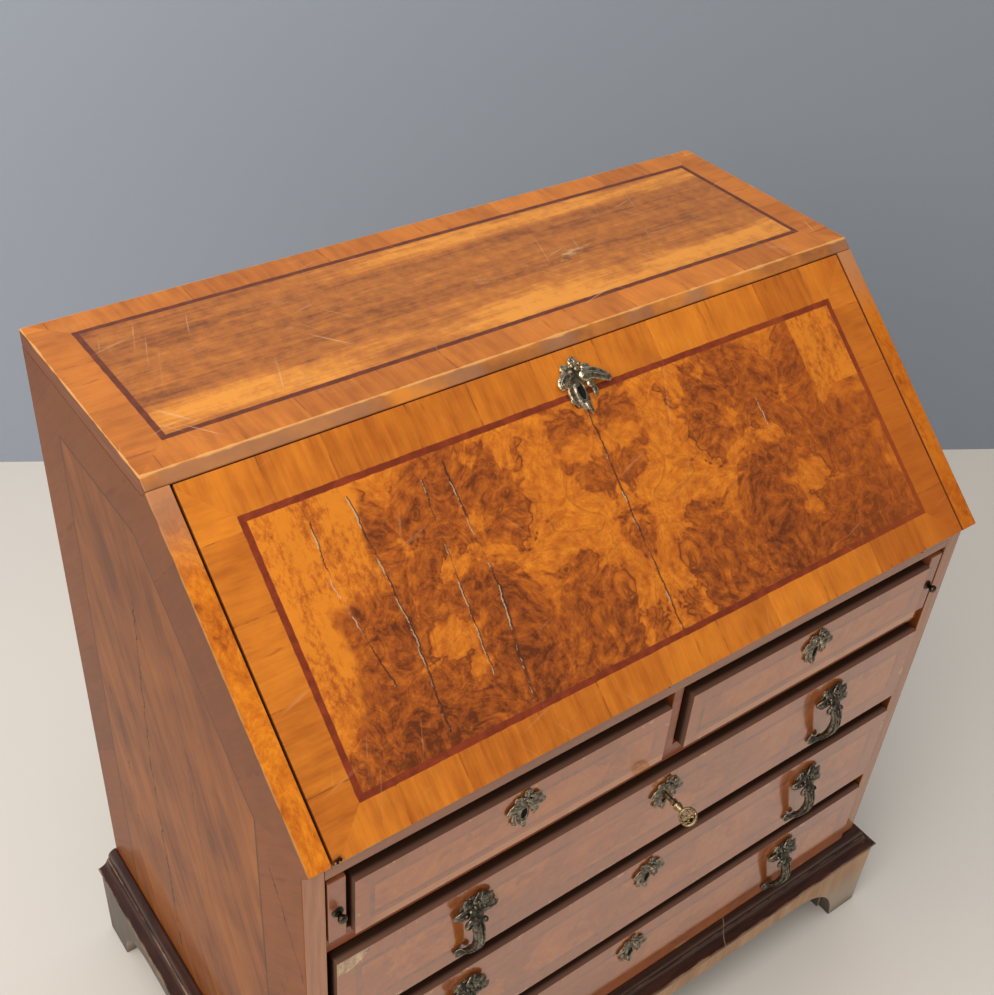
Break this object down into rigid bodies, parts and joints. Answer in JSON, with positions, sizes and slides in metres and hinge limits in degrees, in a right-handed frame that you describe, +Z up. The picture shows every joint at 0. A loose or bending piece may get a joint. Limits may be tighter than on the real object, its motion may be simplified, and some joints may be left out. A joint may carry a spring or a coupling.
{
  "type": "escritoire",
  "caption": "Slant-front writing bureau: veneered case on bracket feet, hinged fall on pull-out lopers, lock and key, cast drawer pulls and a fitted gallery inside.",
  "frame": {"origin": "on the floor below the middle of the overall box, which reaches from the key's bow to the back", "axes": "+X to the right seen from the front, +Y towards the back, +Z up"},
  "size_m": [0.98, 0.6187, 1.0229],
  "materials": {
    "fall_veneer": "glossy burr veneer",
    "top_veneer": "glossy straight veneer",
    "side_veneer": "glossy worn veneer",
    "drawer_veneer": "glossy burr veneer with line inlay",
    "dark_moulding": "glossy ebonised",
    "foot_wood": "dull worn polish",
    "plain_wood": "bare planed",
    "bronze": "cast, dark with bright worn edges",
    "iron": "dark forged"
  },
  "bodies": {
    "carcass": {"back_boards": "plain_wood", "back_feet": "foot_wood", "bed_hinge_leaves": "iron", "bottom_board": "plain_wood", "drawer_divider": "drawer_veneer", "drawer_runners": "plain_wood", "fall_stops": "plain_wood", "front_apron": "foot_wood", "front_left_foot": "foot_wood", "front_moulding": "dark_moulding", "front_right_foot": "foot_wood", "gallery_shelf": "plain_wood", "gallery_uprights": "plain_wood", "hinge_pins": "iron", "left_moulding": "dark_moulding", "left_side": "side_veneer", "loper_guides": "plain_wood", "lower_rail": "drawer_veneer", "middle_rail": "drawer_veneer", "right_moulding": "dark_moulding", "right_side": "side_veneer", "side_aprons": "foot_wood", "top_board": "top_veneer", "upper_rail": "drawer_veneer", "writing_bed": "plain_wood"},
    "fall": {"fall_board": "fall_veneer", "fall_lock": "iron", "fall_escutcheon": "bronze", "fall_hinge_leaves": "iron"},
    "left_loper": {"left_loper": "plain_wood", "left_loper_knob": "bronze"},
    "right_loper": {"right_loper": "plain_wood", "right_loper_knob": "bronze"},
    "drawer_key": {"drawer_key": "bronze"},
    "lock_bolt": {"lock_bolt": "iron"},
    "left_inner_drawer": {"left_inner_drawer": "plain_wood"},
    "right_inner_drawer": {"right_inner_drawer": "plain_wood"},
    "left_small_drawer": {"left_small_drawer_box": "plain_wood", "left_small_drawer_escutcheon": "bronze", "left_small_drawer_front": "drawer_veneer", "left_small_drawer_lock": "iron"},
    "right_small_drawer": {"right_small_drawer_box": "plain_wood", "right_small_drawer_escutcheon": "bronze", "right_small_drawer_front": "drawer_veneer", "right_small_drawer_lock": "iron"},
    "upper_drawer": {"upper_drawer_box": "plain_wood", "upper_drawer_escutcheon": "bronze", "upper_drawer_front": "drawer_veneer", "upper_drawer_lock": "iron", "upper_drawer_pulls": "bronze"},
    "middle_drawer": {"middle_drawer_box": "plain_wood", "middle_drawer_escutcheon": "bronze", "middle_drawer_front": "drawer_veneer", "middle_drawer_lock": "iron", "middle_drawer_pulls": "bronze"},
    "lower_drawer": {"lower_drawer_box": "plain_wood", "lower_drawer_escutcheon": "bronze", "lower_drawer_front": "drawer_veneer", "lower_drawer_lock": "iron", "lower_drawer_pulls": "bronze"}
  },
  "joints": [
    {"name": "fall_hinge", "type": "hinge", "parent": "carcass", "child": "fall", "pos_m": [0, -0.25165, 0.755], "axis": [1, 0, 0], "range_deg": [0, 139]},
    {"name": "left_loper_slide", "type": "slide", "parent": "carcass", "child": "left_loper", "axis": [0, -1, 0], "range_m": [0, 0.3]},
    {"name": "right_loper_slide", "type": "slide", "parent": "carcass", "child": "right_loper", "axis": [0, -1, 0], "range_m": [0, 0.3]},
    {"name": "left_small_drawer_slide", "type": "slide", "parent": "carcass", "child": "left_small_drawer", "axis": [0, -1, 0], "range_m": [0, 0.38]},
    {"name": "right_small_drawer_slide", "type": "slide", "parent": "carcass", "child": "right_small_drawer", "axis": [0, -1, 0], "range_m": [0, 0.38]},
    {"name": "upper_drawer_slide", "type": "slide", "parent": "carcass", "child": "upper_drawer", "axis": [0, -1, 0], "range_m": [0, 0.4]},
    {"name": "middle_drawer_slide", "type": "slide", "parent": "carcass", "child": "middle_drawer", "axis": [0, -1, 0], "range_m": [0, 0.4]},
    {"name": "lower_drawer_slide", "type": "slide", "parent": "carcass", "child": "lower_drawer", "axis": [0, -1, 0], "range_m": [0, 0.4]},
    {"name": "left_inner_drawer_slide", "type": "slide", "parent": "carcass", "child": "left_inner_drawer", "axis": [0, -1, 0], "range_m": [0, 0.16]},
    {"name": "right_inner_drawer_slide", "type": "slide", "parent": "carcass", "child": "right_inner_drawer", "axis": [0, -1, 0], "range_m": [0, 0.16]},
    {"name": "key_turn", "type": "hinge", "parent": "upper_drawer", "child": "drawer_key", "pos_m": [0, -0.25715, 0.5635], "axis": [0, 1, 0], "range_deg": [0, 180]},
    {"name": "bolt_throw", "type": "slide", "parent": "upper_drawer", "child": "lock_bolt", "axis": [0, 0, 1], "range_m": [0, 0.016]}
  ],
  "couplings": [
    {"joint": "bolt_throw", "follows": "key_turn", "m_per_rad": 0.005093}
  ]
}
